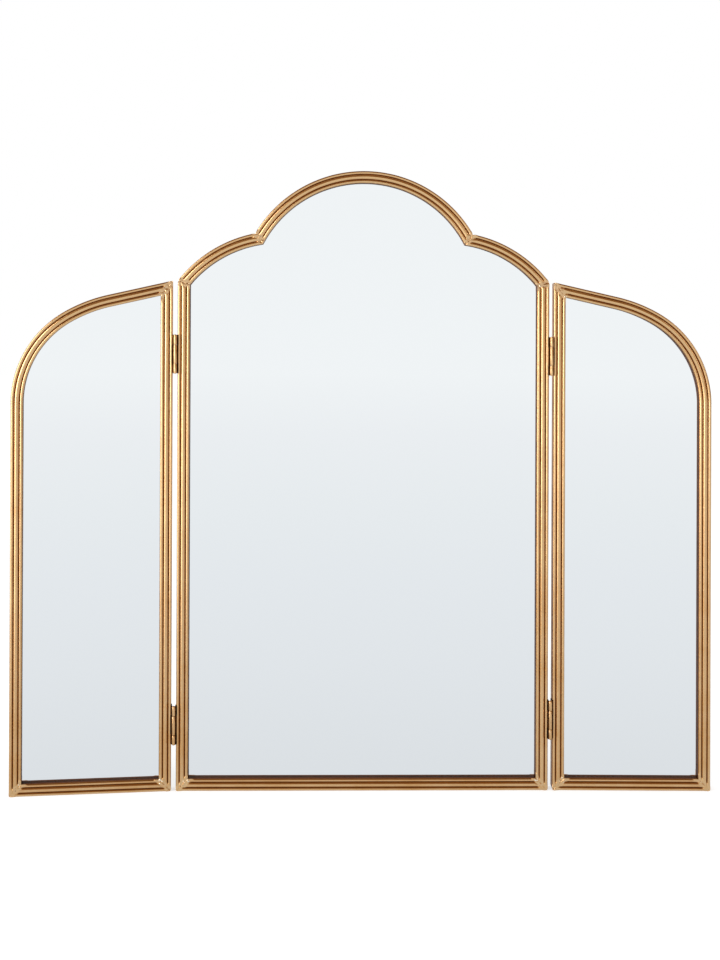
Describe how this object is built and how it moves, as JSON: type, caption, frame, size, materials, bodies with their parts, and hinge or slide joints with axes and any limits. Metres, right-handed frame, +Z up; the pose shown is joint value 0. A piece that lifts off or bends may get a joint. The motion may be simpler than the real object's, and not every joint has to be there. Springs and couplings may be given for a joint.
{
  "type": "trifold table mirror",
  "caption": "Free-standing dressing table mirror: an arched centre pane and two hinged side wings in slim reeded metal frames.",
  "frame": {"origin": "on the supporting surface, under the middle of the centre panel, halfway through its thickness", "axes": "+X to the viewer's right along the centre panel, +Y away from the viewer, +Z up"},
  "size_m": [0.7009, 0.035, 0.6214],
  "materials": {
    "gold_moulding": "satin",
    "gold_hinge": "satin",
    "hinge_pin": "satin",
    "mirror_glass": "polished",
    "backing_board": "matte",
    "tab_strip": "satin"
  },
  "bodies": {
    "centre_panel": {"centre_bottom_rail": "gold_moulding", "centre_left_stile": "gold_moulding", "centre_right_stile": "gold_moulding", "centre_left_shoulder": "gold_moulding", "centre_right_shoulder": "gold_moulding", "centre_arch": "gold_moulding", "centre_mirror_glass": "mirror_glass", "centre_backing_board": "backing_board", "centre_retaining_tabs": "tab_strip", "left_upper_hinge_frame_leaf": "gold_hinge", "left_upper_hinge_pin": "hinge_pin", "left_lower_hinge_frame_leaf": "gold_hinge", "left_lower_hinge_pin": "hinge_pin", "right_upper_hinge_frame_leaf": "gold_hinge", "right_upper_hinge_pin": "hinge_pin", "right_lower_hinge_frame_leaf": "gold_hinge", "right_lower_hinge_pin": "hinge_pin"},
    "left_wing": {"left_wing_bottom_rail": "gold_moulding", "left_wing_hinge_stile": "gold_moulding", "left_wing_outer_rail": "gold_moulding", "left_wing_mirror_glass": "mirror_glass", "left_wing_backing_board": "backing_board", "left_wing_retaining_tabs": "tab_strip", "left_upper_hinge_wing_leaf": "gold_hinge", "left_lower_hinge_wing_leaf": "gold_hinge"},
    "right_wing": {"right_wing_bottom_rail": "gold_moulding", "right_wing_hinge_stile": "gold_moulding", "right_wing_outer_rail": "gold_moulding", "right_wing_mirror_glass": "mirror_glass", "right_wing_backing_board": "backing_board", "right_wing_retaining_tabs": "tab_strip", "right_upper_hinge_wing_leaf": "gold_hinge", "right_lower_hinge_wing_leaf": "gold_hinge"}
  },
  "joints": [
    {"name": "left_wing_hinge", "type": "hinge", "parent": "centre_panel", "child": "left_wing", "pos_m": [-0.1887, -0.0092, 0.25], "axis": [0, 0, 1], "range_deg": [-17, 173]},
    {"name": "right_wing_hinge", "type": "hinge", "parent": "centre_panel", "child": "right_wing", "pos_m": [0.1887, -0.0092, 0.25], "axis": [0, 0, -1], "range_deg": [-11.5, 178.5]}
  ]
}
